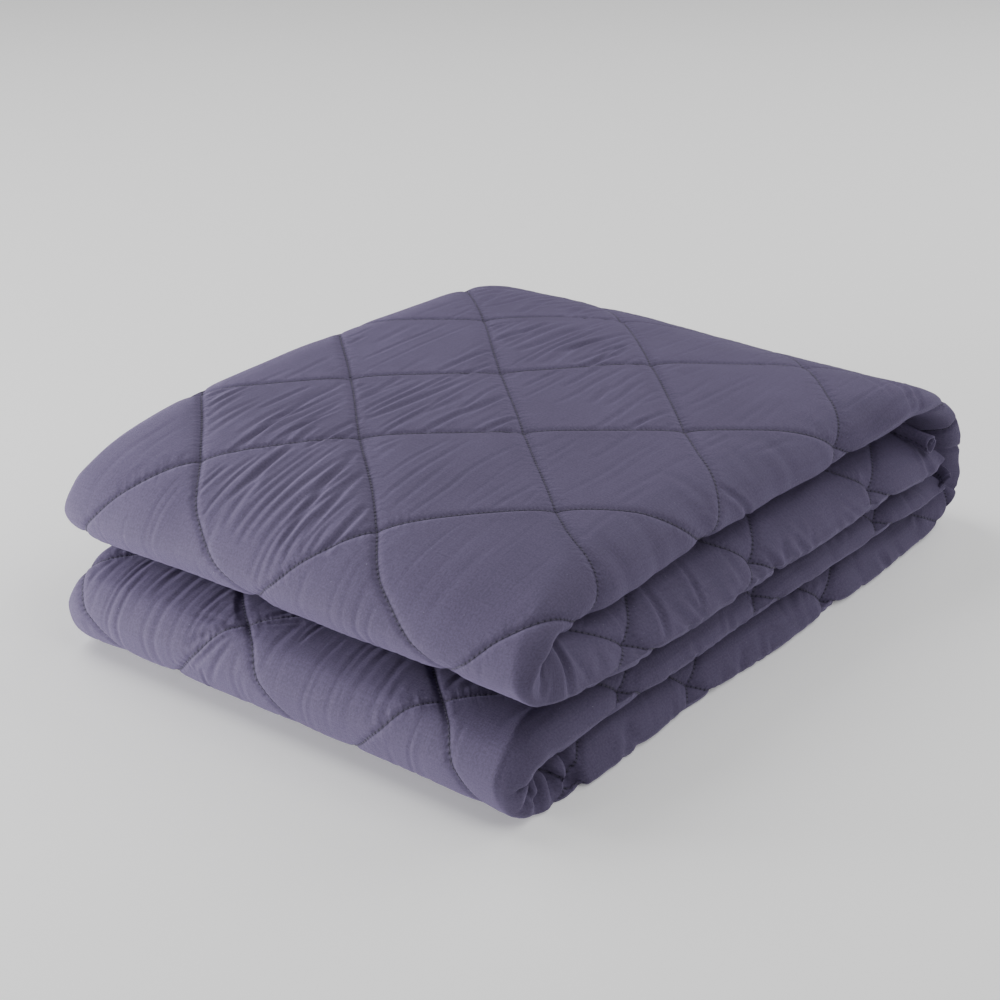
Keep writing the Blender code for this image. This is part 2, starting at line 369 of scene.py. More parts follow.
# %% Nudges of the quilting pattern in cells, as u, v, du and dv
NUDGES = (
    (3, -1, -0.02, 0.09), (4, -2, -0.08, 0.11), (5, -3, 0.12, 0.08), (7, -3, 0.15, 0.12),
    (3, 1, -0.17, 0.13), (4, 0, -0.04, 0.04), (5, -1, -0.11, 0.07), (6, -2, -0.03, 0.02),
    (5, 1, 0.0, -0.06), (6, 0, -0.05, 0.02), (7, -1, 0.0, 0.04), (8, -2, 0.18, 0.34),
    (5, 3, -0.07, 0.1), (6, 2, -0.07, 0.04), (7, 1, -0.02, -0.01), (8, 0, 0.2, -0.04),
    (7, 3, -0.02, 0.2), (8, 2, 0.06, 0.06), (5, 13, -0.03, 0.08), (7, 13, 0.01, 0.14),
    (8, -4, 0.32, -0.02), (8, -6, 0.42, 0.1), (8, -8, 0.46, 0.24), (8, 14, 0.0, 0.08),
    (8, 18, 0.1, -0.2), (8, 10, 0.25, 0.2), (8, 12, 0.1, -0.26), (8, 8, 0.25, 0.25),
)
NUDGE_REACH, NUDGE_HOLD, NUDGE_GAIN = 0.75, 0.35, 1.2


def nudge(u, v):
    """How far the pattern is moved at a place, in cells."""
    du, dv, weights = np.zeros(u.shape), np.zeros(u.shape), np.full(u.shape, NUDGE_HOLD)
    for at_u, at_v, move_u, move_v in NUDGES:
        weight = np.exp(-((u - at_u) ** 2 + (v - at_v) ** 2) / NUDGE_REACH**2)
        du += weight * move_u
        dv += weight * move_v
        weights += weight
    return du / weights * NUDGE_GAIN, dv / weights * NUDGE_GAIN


def squares_at(u, v):
    """Places in quilting squares, where whole numbers are the stitched lines."""
    du, dv = nudge(u, v)
    falling = (u - du + v - dv) / 2
    rising = (u - du - v + dv) / 2
    return falling, rising


square_a, square_b = squares_at(u_grid, v_grid)
line_a = np.abs(square_a - np.round(square_a)) * SQUARE
line_b = np.abs(square_b - np.round(square_b)) * SQUARE
nearest_line = np.minimum(line_a, line_b)
print("pattern nudged by up to", round(float(np.abs(nudge(u_grid, v_grid)[0]).max()), 2), "cells")

# %% [markdown]
# ## Quilting relief
# A stitched line is pulled in to the batting and the filling swells between the lines.  The
# relief is an exponential, steep at the line and nearly level in the middle of a square,
# with an extra dimple where two lines cross.  At the right-hand end, where the cloth turns
# tightly, the lines pull deeper and the squares puff out between them.

# %% Relief of the quilting, in metres
GROOVE_DEPTH, GROOVE_WIDTH = 0.0009, 0.0055
CREASE_DEPTH, CREASE_WIDTH = 0.0010, 0.0018
KNOT_DEPTH, KNOT_WIDTH = 0.0009, 0.0100
SIDE_PULL = 1.5
SIDE_PUFF, SIDE_PUFF_WIDTH = 0.0008, 0.020


def quilting_relief(a, b, side):
    """How far the cloth is pulled in, for distances a and b from the two families of lines."""
    groove = np.exp(-a / GROOVE_WIDTH) + np.exp(-b / GROOVE_WIDTH)
    crease = bump(a, 0.0, CREASE_WIDTH) + bump(b, 0.0, CREASE_WIDTH)
    knot = np.exp(-(a**2 + b**2) / KNOT_WIDTH**2)
    pull = GROOVE_DEPTH * groove * (1 + side) + KNOT_DEPTH * knot * (1 + 2 * SIDE_PULL * side)
    puff = SIDE_PUFF * side * (1 - np.exp(-np.minimum(a, b) / SIDE_PUFF_WIDTH))
    return pull + CREASE_DEPTH * crease - puff


# %% [markdown]
# The relief fades out where the skin turns in at an end.  It is weaker on the right-hand side
# of the top and the spine, and nearly flat where the second and third layers are pressed
# together.  All places are in cells.

# %% Where the relief shows
SIDE_START, SIDE_BLEND = 7.6, 0.4
TOP_SIDE, TOP_PLACE = 0.85, (0.5, 2.2)
SPINE_SIDE, SPINE_PLACE = 0.6, (5.0, 1.2)
BLOCK_MIDDLE, LEFT_FADE, RIGHT_FADE = 5.0, 0.35, 0.10
PRESSED = 0.8
PRESSED_U, PRESSED_U_BLEND = (2.75, 7.75), 0.3
SECOND_PRESSED, THIRD_PRESSED, PRESSED_V_BLEND = -3.9, 13.9, 0.5

side = ramp(u_grid - SIDE_START, SIDE_BLEND) * (u_grid < SKIN_ENDS[-1])
side *= 1 - TOP_SIDE * bump(v_grid, *TOP_PLACE) - SPINE_SIDE * bump(v_grid, *SPINE_PLACE)
seen = ramp(1 - depth, np.where(u_grid > BLOCK_MIDDLE, RIGHT_FADE, LEFT_FADE))
middle = ramp(np.minimum(u_grid - PRESSED_U[0], PRESSED_U[1] - u_grid), PRESSED_U_BLEND)
touching = ramp(np.maximum(SECOND_PRESSED - v_grid, v_grid - THIRD_PRESSED), PRESSED_V_BLEND)
seen *= 1 - PRESSED * middle * touching
rise = -quilting_relief(line_a, line_b, side) * seen
print("deepest stitching", round(float(-rise.min()) * 1000, 1), "mm")

# %% [markdown]
# ## Creases
# In several squares the cloth has gathered into long parallel creases that run along the
# strip, from one stitched line to the next.  The deep ones are placed one by one.

# %% Single creases, from u, v to u, v in cells, with depth and width in millimetres
CREASES = (
    # upper fold and front of the top
    (4.16, -1.75, 3.98, -0.1, 1.12, 2.5), (4.44, -1.6, 4.3, -0.4, 0.63, 2.4),
    (4.71, -1.4, 4.68, -0.6, 0.91, 2.0), (4.6, -2.15, 4.58, -1.42, 1.05, 2.4),
    (4.72, -2.35, 4.62, -1.85, 0.7, 2.4), (4.95, -2.45, 4.88, -1.35, 0.56, 2.6),
    (5.34, -2.35, 5.08, -1.12, 0.91, 2.6), (5.46, -2.25, 5.38, -1.36, 0.84, 2.4),
    (5.72, -2.3, 5.72, -1.78, 0.77, 2.4),
    # middle of the top
    (4.74, -0.7, 4.88, 0.6, 0.84, 2.4), (5.06, -0.8, 5.1, 0.3, 0.49, 2.6),
    (5.34, -0.62, 5.36, 0.6, 0.91, 2.4), (5.72, -0.25, 5.76, 0.22, 0.98, 2.0),
    (4.42, -0.4, 4.36, 0.3, 0.56, 2.4), (4.56, 0.6, 4.6, 1.45, 0.77, 2.1),
    (4.74, 0.5, 4.82, 1.05, 0.7, 2.0),
    # back of the top
    (4.47, 1.52, 4.6, 2.35, 0.91, 2.1), (4.82, 1.4, 4.95, 2.6, 0.84, 2.5),
    (5.12, 1.6, 5.3, 2.62, 0.91, 2.4), (5.4, 1.5, 5.52, 2.35, 0.63, 2.0),
    (5.53, 1.5, 5.6, 2.0, 0.91, 2.0), (6.08, 0.85, 6.0, 1.3, 0.49, 2.4),
    (6.6, 0.62, 6.72, 1.25, 0.56, 2.1), (4.15, 2.4, 4.0, 3.2, 0.91, 2.6),
    (4.55, 2.62, 4.35, 3.5, 0.84, 2.6), (3.7, 2.25, 3.4, 3.3, 0.63, 2.8),
)


# %% [markdown]
# Towards the right-hand edge of the top the cloth turns down, and soft folds run across the
# edge instead.  A few more are gathered at one crossing of the lower fold.

# %% Folds across the right-hand edge, in the same columns
EDGE_CREASES = (
    # top
    (7.72, 0.38, 8.08, 0.57, 1.4, 2.4), (8.0, 0.53, 8.45, 0.66, 2.2, 2.6),
    (7.45, 0.95, 7.9, 0.8, 0.5, 4.0), (7.3, 0.15, 7.95, 0.12, 0.6, 4.0),
    (7.55, 1.3, 8.2, 1.22, 0.6, 5.0), (7.4, -0.62, 8.15, -0.8, 0.6, 5.0),
    (7.25, -1.15, 8.1, -1.2, 0.5, 5.0), (7.6, 1.95, 8.3, 1.9, 0.5, 4.5),
    (7.62, 3.46, 8.2, 3.14, 1.3, 2.0), (7.78, 3.52, 8.25, 3.28, 1.3, 2.0),
    (7.5, 3.36, 8.0, 3.02, 0.8, 2.4),
    # gathered at a crossing of the lower fold
    (4.52, 12.74, 4.92, 12.97, 1.2, 1.8), (4.62, 12.58, 4.94, 12.92, 1.2, 1.8),
    (4.44, 12.92, 4.9, 13.02, 1.0, 1.8), (4.78, 12.5, 4.97, 12.88, 0.8, 2.0),
    (5.06, 13.08, 5.42, 13.32, 1.0, 1.8), (5.05, 13.16, 5.3, 13.5, 1.0, 1.8),
    (4.66, 13.3, 4.94, 13.06, 0.8, 1.8),
    # ends of the layers
    (8.15, -4.36, 8.6, -4.57, 2.2, 2.2), (8.2, -4.94, 8.62, -5.12, 1.6, 2.0),
    (8.0, -3.3, 8.55, -3.4, 2.6, 3.0), (8.44, 11.76, 7.92, 11.66, 4.0, 2.2),
    (8.36, 11.97, 8.08, 11.9, 2.0, 2.2), (8.2, 12.42, 8.02, 12.22, 2.4, 2.2),
    (7.8, -6.25, 8.4, -6.05, 2.2, 2.6), (7.9, -5.6, 8.35, -5.4, 1.0, 4.0),
    (8.0, -4.75, 8.4, -4.6, 1.0, 4.0), (7.85, -7.8, 8.4, -7.65, 1.6, 2.6),
    (8.0, -3.6, 8.4, -3.5, 1.0, 3.0), (7.8, 15.8, 8.2, 15.95, 1.6, 2.4),
    (7.8, 17.1, 8.2, 17.0, 0.8, 4.0), (8.0, 10.3, 8.4, 10.2, 0.8, 4.0),
    (8.0, 8.6, 8.4, 8.5, 0.8, 4.0),
)


# %% [markdown]
# Between them lie many finer ones.  Each square gets its own number of them, scattered inside
# its four stitched lines: the left half of the top is well creased, and the right half is
# nearly smooth.

# %% Fine creases of each square, as its u and v, how many, and how deep
FIELDS = (
    # top
    (4, -1, 16, 1.1), (5, 0, 14, 1.1), (4, 1, 9, 0.6), (5, 2, 16, 1.2), (4, 3, 14, 1.2),
    (5, 4, 12, 0.9), (3, 0, 8, 0.5), (3, 2, 8, 0.5), (6, 1, 11, 0.9), (6, -1, 10, 0.5),
    (6, 3, 10, 0.6), (7, 0, 10, 0.5), (7, 2, 10, 0.5), (7, 4, 8, 0.5), (8, -1, 8, 0.5),
    (8, 1, 10, 0.8), (8, 3, 10, 0.8),
    # front of the upper fold
    (3, -2, 9, 0.3), (5, -2, 18, 0.9), (4, -3, 14, 0.5), (6, -3, 14, 0.55), (7, -2, 8, 0.35),
    (8, -3, 8, 0.3), (5, -4, 12, 0.6), (7, -4, 10, 0.5),
    # front of the lower fold
    (3, 12, 12, 0.5), (3, 14, 16, 1.0), (4, 13, 16, 0.8), (5, 12, 14, 0.8), (5, 14, 14, 0.9),
    (6, 13, 12, 0.5), (7, 12, 12, 0.5), (7, 14, 12, 0.8), (8, 13, 8, 0.4),
    # right-hand ends of the layers
    (8, -5, 8, 0.6), (8, -7, 8, 0.6), (8, 15, 8, 0.6), (8, 17, 8, 0.6), (8, 9, 8, 0.5),
    (8, 11, 8, 0.5), (8, 7, 8, 0.5), (8, 5, 8, 0.5),
    # spine
    (3, 4, 8, 0.5), (3, 6, 8, 0.5), (4, 5, 12, 0.6), (5, 6, 12, 0.5), (6, 5, 12, 0.5),
    (7, 6, 8, 0.4),
)
FIELD_SEED, FIELD_SPREAD, FIELD_SLANT, FIELD_JITTER = 21, 0.88, 0.03, (0.1, 0.9)
FIELD_REACHES = ((0.8, 1.0), (-0.2, 0.95))
FIELD_DEPTHS, FIELD_WIDTHS = (0.3, 0.9), (1.3, 2.6)


def scattered_creases():
    """Fine creases for every square, in the same columns as the single ones."""
    chance = np.random.default_rng(FIELD_SEED)
    found = []
    for at_u, at_v, count, deep in FIELDS:
        for k in range(count):
            shift = 2 * FIELD_SPREAD * (k + chance.uniform(*FIELD_JITTER)) / count
            u = at_u - FIELD_SPREAD + shift
            reach = 1.0 - abs(u - at_u)
            reaches = [reach * chance.uniform(*limits) for limits in FIELD_REACHES]
            chance.shuffle(reaches)
            slant = chance.uniform(-FIELD_SLANT, FIELD_SLANT)
            ends = (u - slant, at_v - reaches[0], u + slant, at_v + reaches[1])
            depth_and_width = deep * chance.uniform(*FIELD_DEPTHS), chance.uniform(*FIELD_WIDTHS)
            found.append((*ends, *depth_and_width))
    return found


# %% [markdown]
# The right-hand ends of the lower layers are gathered where the plies turn back, so they get
# short folds of every size.

# %% Short folds round the ends, as from v, to v, and how many
END_FIELDS = ((-9.0, -2.9, 42), (6.0, 12.4, 40), (13.2, 19.0, 40))
END_U, END_LENGTHS, END_LEANS = (7.85, 8.3), (0.15, 0.45), (-0.12, 0.12)
END_WIDTHS, END_STEEPNESS, END_SEED = (1.2, 3.6), (0.15, 0.5), 5


def end_creases():
    """Short folds of every size, in the same columns as the single creases."""
    draw = np.random.default_rng(END_SEED).uniform
    found = []
    for v_start, v_end, count in END_FIELDS:
        for v in draw(v_start, v_end, count):
            limits = (END_U, END_LENGTHS, END_LEANS, END_WIDTHS)
            u, length, lean, wide = (draw(*pair) for pair in limits)
            found.append((u, v - lean, u + length, v + lean, wide * draw(*END_STEEPNESS), wide))
    return found


# %% [markdown]
# A crease is a narrow valley with a soft shoulder on each side, deepest in its middle and
# tapered to its ends.  It wanders a little, and it stops at the stitching.

# %% Pressing the creases in
MARGIN = 0.2
WANDER, WANDER_WAVE, WANDER_STEP, WANDER_SEED = 0.03, 1.7, 0.37, 8
SHOULDER, SHOULDER_PLACE = 0.30, 1.9
TAPER = 0.6
SINGLE_SCALE = 1.5
PINNED_WIDTH, PINNED_POWER = 0.0025, 0.7


def pressed_creases(creases):
    """All the creases together on the skin grid, in metres."""
    total = np.zeros(u_grid.shape)
    for k, (u_start, v_start, u_end, v_end, deep, wide) in enumerate(creases):
        low_u, high_u = sorted((u_start, u_end))
        low_v, high_v = sorted((v_start, v_end))
        rows = slice(*np.searchsorted(v_rows, (low_v - MARGIN, high_v + MARGIN)))
        columns = slice(*np.searchsorted(skin_columns, (low_u - MARGIN, high_u + MARGIN)))
        length = math.hypot(u_end - u_start, v_end - v_start)
        way_u, way_v = (u_end - u_start) / length, (v_end - v_start) / length
        u, v = skin_columns[None, columns] - u_start, v_rows[rows, None] - v_start
        t = (u * way_u + v * way_v) / length
        own_row = np.full(t.shape, WANDER_STEP * k)
        wander = WANDER * soft_noise(t * length * WANDER_WAVE + v_start, own_row, WANDER_SEED)
        away = np.abs(u * way_v - v * way_u - wander) * CELL * 1000 / wide
        profile = bump(away, 0.0, 1.0) - SHOULDER * bump(away, SHOULDER_PLACE, 1.0)
        taper = np.clip(t * (1 - t) * 4, 0.0, 1.0) ** TAPER
        total[rows, columns] += deep / 1000 * profile * taper
    return total


pinned = ramp(nearest_line, PINNED_WIDTH) ** PINNED_POWER
single = [(*row[:4], SINGLE_SCALE * row[4], row[5]) for row in CREASES]
creases = pressed_creases([*single, *EDGE_CREASES, *end_creases(), *scattered_creases()])
rise -= creases * pinned * seen
print("deepest crease", round(float(creases.max()) * 1000, 1), "mm")

# %% [markdown]
# ## Unevenness of the filling
# The beads settle, so a square is never evenly full.

# %% Slow swells of the filling
SWELLS = ((0.0007, 0.9, 11), (0.0004, 2.3, 12))
SWELL_EDGE = 0.012
swell = sum(high * soft_noise(u_grid * pace, v_grid * pace, seed) for high, pace, seed in SWELLS)
rise += swell * seen * ramp(nearest_line, SWELL_EDGE)
print("swells of up to", round(float(np.abs(swell).max()) * 1000, 1), "mm")


# %% [markdown]
# ## Pushing the surface
# Every point moves along the surface's own direction by its rise.  Then the whole block is
# bent down a little towards its ends, except at two right-hand corners that stand up, and
# pressed flat where it lies on the floor.

# %% Displaced grid, in metres
CROWN_MIDDLE, CROWN_HEIGHT = 5.5, 1.85
CROWN_TILT, CROWN_FALL = -0.022, -0.0156
CORNER_LIFTS = ((3.4, 0.8, 0.14), (-3.2, 0.55, 0.11))
CORNER_BLEND, CORNER_POWER = 2.4, 1.5
FLOOR_FLAT = 0.0012


def outward(points):
    """Unit normals of the grid, outwards."""
    across = np.roll(points, -1, axis=1) - np.roll(points, 1, axis=1)
    return unit(np.cross(across, np.gradient(points, axis=0)))


def settled(points):
    """The crown and the flat underside, and the frame's own origin."""
    x = points[..., 0] / CELL - CROWN_MIDDLE
    points[..., 2] *= 1 + (CROWN_TILT * x + CROWN_FALL * x**2) / CROWN_HEIGHT
    for at_v, v_width, lift in CORNER_LIFTS:
        corner = ramp(x, CORNER_BLEND) ** CORNER_POWER * bump(v_grid, at_v, v_width)
        points[..., 2] += lift * CELL * corner
    points[..., 2] = np.maximum(points[..., 2] - FLOOR_FLAT, 0.0)
    points[..., 0] -= CENTRE[0] * CELL
    points[..., 1] -= CENTRE[1] * CELL
    return points


surface = settled(strip * CELL + outward(strip) * rise[..., None])
surface_normals = outward(surface)
print("surface box", [round(float(c) * 1000) for c in np.ptp(surface, axis=(0, 1))], "mm")

# %% [markdown]
# ## Layers of the block
# The skin is cut into six stretches, because one mesh of it would be heavy to work with.
# They share the points and normals of their edges, so no line shows between them.  Where a
# layer lies between others only its ends show, so its hidden middle takes every eighth point.

# %% Each layer's stretch of cloth, from v to v, and whether its middle is hidden
LAYERS = (
    ("second_layer", -9.0, -4.0, True),
    ("top_layer", -4.0, 2.5, False),
    ("spine", 2.5, 7.0, False),
    ("bottom_layer", 7.0, 11.5, True),
    ("lower_fold", 11.5, 14.5, False),
    ("third_layer", 14.5, 19.0, True),
)
HIDDEN_MIDDLE = (3.0, 7.2)
HIDDEN_STEP = 8


def layer_columns(middle_hidden):
    """The grid columns that a layer keeps."""
    columns = np.arange(u_grid.shape[1])
    if not middle_hidden:
        return columns
    inside = (skin_columns > HIDDEN_MIDDLE[0]) & (skin_columns < HIDDEN_MIDDLE[1])
    inside = np.append(inside, np.zeros(INNER_POINTS, dtype=bool))
    return columns[~inside | (columns % HIDDEN_STEP == 0)]


def set_coordinates(mesh, maps):
    """UV maps, each a name and two values for every point of the mesh."""
    corners = np.empty(len(mesh.loops), dtype=int)
    mesh.loops.foreach_get("vertex_index", corners)
    for name, first, second in maps:
        coordinates = np.column_stack([first.ravel()[corners], second.ravel()[corners]])
        mesh.uv_layers.new(name=name).data.foreach_set("uv", coordinates.ravel())


def ring_grid(rows, count):
    """The numbers of the points of some rings, and of each one's neighbour in its ring."""
    grid = np.arange(rows * count).reshape(rows, count)
    return grid, np.roll(grid, -1, axis=1)


def smooth_mesh(name, points, faces):
    """A smoothly shaded mesh of these points."""
    mesh = bpy.data.meshes.new(name)
    mesh.from_pydata(points.reshape(-1, 3).tolist(), [], faces)
    mesh.shade_smooth()
    return mesh


def layer_mesh(name, rows, columns):
    """A layer's quads with their cloth and pattern coordinates, closed at a free end."""
    grid, around = ring_grid(len(rows), len(columns))
    quads = np.stack([grid[:-1], around[:-1], around[1:], grid[1:]], axis=-1)
    faces = quads.reshape(-1, 4).tolist()
    if rows[0] == 0:
        faces.append(grid[0, ::-1].tolist())
    if rows[-1] == len(v_rows) - 1:
        faces.append(grid[-1].tolist())
    picked = np.ix_(rows, columns)
    mesh = smooth_mesh(name, surface[picked], faces)
    normals = surface_normals[picked].reshape(-1, 3)
    mesh.normals_split_custom_set_from_vertices(normals.tolist())
    cloth = ("cloth", u_grid[picked] * CELL, v_grid[picked] * CELL)
    set_coordinates(mesh, (cloth, ("squares", square_a[picked], square_b[picked])))
    return mesh


def add_object(name, data):
    """A new object in the scene."""
    added = bpy.data.objects.new(name, data)
    bpy.context.scene.collection.objects.link(added)
    return added


layers = []
for name, v_start, v_end, middle_hidden in LAYERS:
    near = (v_rows > v_start - ROW_SPACING / 2) & (v_rows < v_end + ROW_SPACING / 2)
    layer = add_object(name, layer_mesh(name, np.flatnonzero(near), layer_columns(middle_hidden)))
    layers.append(layer)
    print(name, len(layer.data.polygons), "faces")

# %% [markdown]
# ## Hems
# The sheet's own edge is turned in and sewn down as a narrow flat hem.  It comes out at the
# two free ends of the strip, by the spine, where one corner of it has curled up.  A hem is a
# flat rounded band that follows a wavy line; the curl is the same band rolled up.

# %% Hems, as y, z, from x, to x and the turned-back part in cells, and the tilt in degrees
HEMS = (
    ("upper_hem", 3.84, 1.02, 2.85, 7.86, 0.0, 20.0),
    ("lower_hem", 4.05, 0.58, 2.95, 8.16, 0.26, 68.0),
)
HEM_WIDTH, HEM_THICKNESS, HEM_DROOP = 0.0125, 0.0022, 0.0035
HEM_WAVE, HEM_WAVES, HEM_WAVE_SEED = 0.035, 1.6, 31
HEM_RIPPLE, HEM_RIPPLES, HEM_RIPPLE_SEED = 0.0010, 4.0, 32
HEM_SQUARENESS, HEM_TURN = 0.5, 75.0
HEM_POINTS, HEM_RING = 160, 20


def band_mesh(name, rings, along, across):
    """A closed band through rings of points, with its cloth and pattern coordinates."""
    grid, around = ring_grid(*rings.shape[:2])
    quads = np.stack([grid[:-1], grid[1:], around[1:], around[:-1]], axis=-1)
    faces = [*quads.reshape(-1, 4).tolist(), grid[0].tolist(), grid[-1, ::-1].tolist()]
    mesh = smooth_mesh(name, rings, faces)
    squares = ("squares", across / SQUARE, along / SQUARE + 0.5)
    set_coordinates(mesh, (("cloth", across, along), squares))
    return mesh


def hem_mesh(name, y, z, x_start, x_end, turned, tilt):
    """A flat wavy band along a free end, tilted up, its last part turned back."""
    x = np.linspace(x_start, x_end, HEM_POINTS)
    turn = np.linspace(0.0, 2 * math.pi, HEM_RING, endpoint=False)
    across = np.sign(np.cos(turn)) * np.abs(np.cos(turn)) ** HEM_SQUARENESS * HEM_WIDTH / 2
    thick = np.sin(turn) * HEM_THICKNESS / 2
    wave = soft_noise(x * HEM_WAVES, np.full(x.shape, y), HEM_WAVE_SEED)
    ripple = soft_noise(x * HEM_RIPPLES, np.full(x.shape, z), HEM_RIPPLE_SEED)
    droop = -HEM_DROOP * (across / HEM_WIDTH + 0.5) ** 2
    rings = np.empty((HEM_POINTS, HEM_RING, 3))
    rings[..., 0] = (x[:, None] - CENTRE[0]) * CELL
    thick = thick + droop + HEM_RIPPLE * ripple[:, None] * (1 + across / HEM_WIDTH)
    lean, lift = math.cos(math.radians(tilt)), math.sin(math.radians(tilt))
    line_y = (y + HEM_WAVE * wave[:, None] - CENTRE[1]) * CELL
    rings[..., 1] = line_y + across * lean - thick * lift
    rings[..., 2] = z * CELL + across * lift + thick * lean
    if turned > 0:
        bend = ramp(x - (x_end - turned), turned)[:, None]
        angle = bend * math.radians(HEM_TURN)
        pivot_x, pivot_y = rings[:, :1, 0] - bend * turned * CELL, y * CELL - CENTRE[1] * CELL
        reach = bend * turned * CELL
        side_y = rings[..., 1] - pivot_y
        rings[..., 0] = pivot_x + reach * np.cos(angle / 2) + side_y * np.sin(angle)
        rings[..., 1] = pivot_y - reach * np.sin(angle / 2) + side_y * np.cos(angle)
    along = np.broadcast_to(x[:, None] * CELL, rings.shape[:2])
    return band_mesh(name, rings, along, np.broadcast_to(across, rings.shape[:2]))


# %% [markdown]
# The curled corner is a roll of a little over one turn, open at its end.

# %% The curled corner
CURL_START, CURL_END = (7.62, 3.44, 1.28), (8.15, 3.54, 1.12)
CURL_RADIUS, CURL_THICKNESS = 0.0054, 0.0011
CURL_TURNS, CURL_LEAD = 1.12, 0.6
CURL_TIGHTER, CURL_UNEVEN = 0.30, 0.12
CURL_SLIDE, CURL_FLAT, CURL_TALL = 0.0012, 0.8, 1.15
CURL_SWELLS, CURL_DENTS, CURL_SLIDES = 7.0, 3.0, 1.3
CURL_LENGTH, CURL_MARGIN = 0.03, 0.02
CURL_RINGS, CURL_STEPS = 28, 56


def curl_mesh(name):
    """A sheet of cloth rolled up round the line from start to end."""
    along = np.linspace(0.0, 1.0, CURL_RINGS)
    turn = np.linspace(0.0, 2 * math.pi * CURL_TURNS, CURL_STEPS) - CURL_LEAD
    spread = 1.0 - CURL_TIGHTER * np.linspace(1.0, 0.0, CURL_STEPS)
    start, end = (np.array(place) - (*CENTRE, 0.0) for place in (CURL_START, CURL_END))
    axis = (start + (end - start) * along[:, None])[:, None] * CELL
    swell = 1.0 + CURL_UNEVEN * np.sin(CURL_SWELLS * along)[:, None]
    rings = []
    for shell, steps in ((0.5, slice(None)), (-0.5, slice(None, None, -1))):
        angle = turn[steps]
        radius = CURL_RADIUS * spread[steps] * (1.0 + CURL_UNEVEN * np.sin(CURL_DENTS * angle))
        radius = radius + CURL_THICKNESS * shell
        slide = CURL_SLIDE * np.sin(angle * CURL_SLIDES) * along[:, None]
        y, z = radius * np.cos(angle) * swell, radius * np.sin(angle) * swell
        rings.append(axis + np.stack([slide, y * CURL_FLAT, z * CURL_TALL], axis=-1))
    rings = np.concatenate(rings, axis=1)
    around = np.concatenate([turn, turn[::-1]]) * CURL_RADIUS
    length = np.broadcast_to(along[:, None] * CURL_LENGTH, rings.shape[:2])
    return band_mesh(name, rings, length, np.broadcast_to(around - CURL_MARGIN, rings.shape[:2]))


hems = [add_object(row[0], hem_mesh(*row)) for row in HEMS]
hems.append(add_object("curled_corner", curl_mesh("curled_corner")))
for hem in hems:
    print(hem.name, [round(c * 1000) for c in hem.dimensions], "mm")

# %% [markdown]
# ## Stitches
# The quilting is a lockstitch about 3 mm long.  Each stitch is its own little rounded bar
# that dives into the cloth at both ends, laid along the stitched line on the finished
# surface.

# %% Stitches: thread in metres, and its profile as share of the stitch and how deep it dives
STITCHES_PER_SQUARE = 34
STITCH_SHARE = 0.74
THREAD_WIDTH = 0.00050
THREAD_RISE = 0.00022
STITCH_PROFILE = ((0.0, 0.00025), (0.22, 0.0), (0.78, 0.0), (1.0, 0.00025))
ARCH_POINTS = 4
STITCHED_U = (2.25, 8.75)
SEARCH_ROUNDS, SPARE_LINES = 4, (2, 8)
JUST_OVER_ONE = 1.001


def grid_sample(values, u, v):
    """Values of the fine skin grid at places between its points."""
    row = np.clip((v - FIRST) / ROW_SPACING, 0, len(v_rows) - JUST_OVER_ONE)
    column = np.interp(u, skin_columns, np.arange(len(skin_columns)))
    column = np.clip(column, 0, len(skin_columns) - JUST_OVER_ONE)
    i, j = row.astype(int), column.astype(int)
    s, t = (row - i)[:, None], (column - j)[:, None]
    near = values[i, j] * (1 - t) + values[i, j + 1] * t
    far = values[i + 1, j] * (1 - t) + values[i + 1, j + 1] * t
    return near * (1 - s) + far * s


def cloth_place(a, b):
    """The u and v whose pattern coordinates are a and b."""
    u, v = a + b, a - b
    for _ in range(SEARCH_ROUNDS):
        du, dv = nudge(u, v)
        u, v = a + b + du, a - b + dv
    return u, v


def stitch_starts():
    """Pattern coordinates of each stitch's start, and which way it runs."""
    low, high = math.floor((FIRST - 1) / 2), math.ceil((LAST + SKIN_ENDS[-1]) / 2)
    lines = np.arange(low - SPARE_LINES[0], high + SPARE_LINES[1])
    first, last = lines[0] * STITCHES_PER_SQUARE, lines[-1] * STITCHES_PER_SQUARE
    steps = np.arange(first, last) / STITCHES_PER_SQUARE
    line, step = (grid.ravel() for grid in np.meshgrid(lines.astype(float), steps))
    none, one = np.zeros(len(line)), np.ones(len(line))
    families = ([line, step, none, one], [step, line, one, none])
    return np.concatenate([np.column_stack(family) for family in families])


def thread_mesh(name, v_start, v_end):
    """All the stitches of one stretch as one mesh of little bars."""
    start = stitch_starts()
    u, v = cloth_place(*start[:, :2].T)
    kept = (u > STITCHED_U[0]) & (u < STITCHED_U[1]) & (v >= v_start) & (v < v_end)
    start = start[kept]
    bar = []
    for t, sink in STITCH_PROFILE:
        share = (0.5 + (t - 0.5) * STITCH_SHARE) / STITCHES_PER_SQUARE
        u, v = cloth_place(*(start[:, :2] + start[:, 2:] * share).T)
        bar.append((grid_sample(surface, u, v), unit(grid_sample(surface_normals, u, v)), sink))
    direction = unit(bar[-1][0] - bar[0][0])
    points = []
    for place, normal, sink in bar:
        side = np.cross(direction, normal)
        for turn in np.linspace(0.0, math.pi, ARCH_POINTS):
            across = side * math.cos(turn) * THREAD_WIDTH / 2
            up = normal * (math.sin(turn) * (THREAD_RISE + THREAD_WIDTH / 2) - sink)
            points.append(place + across + up)
    points = np.stack(points, axis=1)
    points[..., 2] = np.maximum(points[..., 2], 0.0)
    grid = np.arange(points.shape[0] * points.shape[1]).reshape(-1, len(bar), ARCH_POINTS)
    corners = (grid[:, :-1, :-1], grid[:, :-1, 1:], grid[:, 1:, 1:], grid[:, 1:, :-1])
    quads = np.stack(corners, axis=-1).reshape(-1, 4)
    return smooth_mesh(name, points, quads.tolist())


